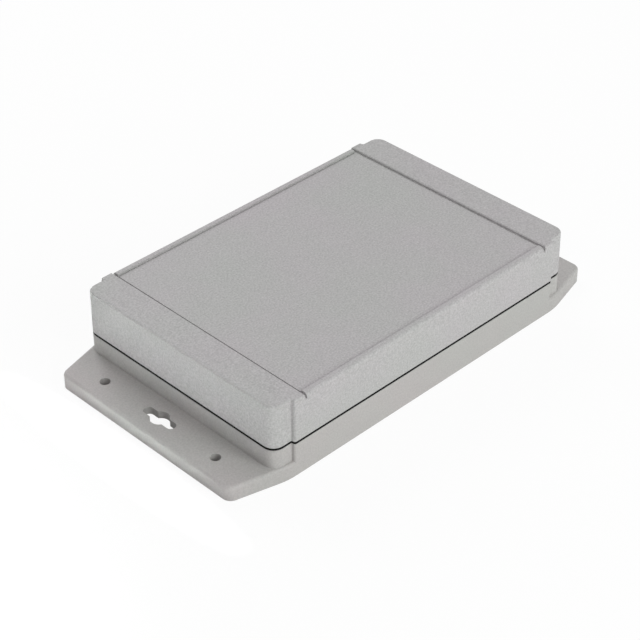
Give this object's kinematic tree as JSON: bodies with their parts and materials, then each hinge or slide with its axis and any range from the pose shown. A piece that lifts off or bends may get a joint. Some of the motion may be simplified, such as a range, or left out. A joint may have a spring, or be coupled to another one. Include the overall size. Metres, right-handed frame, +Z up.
{
  "type": "plastic project box",
  "caption": "Flat two-part plastic electronics enclosure with wall-mounting flanges, keyholes and a recessed top panel.",
  "frame": {"origin": "centre of the underside that lies on the mounting surface", "axes": "+X along the body from flange to flange, +Y across it, +Z up through the cover"},
  "size_m": [0.2014, 0.11, 0.0352],
  "materials": {
    "grey_plastic": "fine matt moulded texture, light warm grey",
    "black_rubber": "matt black",
    "plated_steel": "zinc plated, satin"
  },
  "bodies": {
    "root": {"base": "grey_plastic", "cover": "grey_plastic", "seal": "black_rubber", "cover_screws": "plated_steel"}
  },
  "joints": []
}
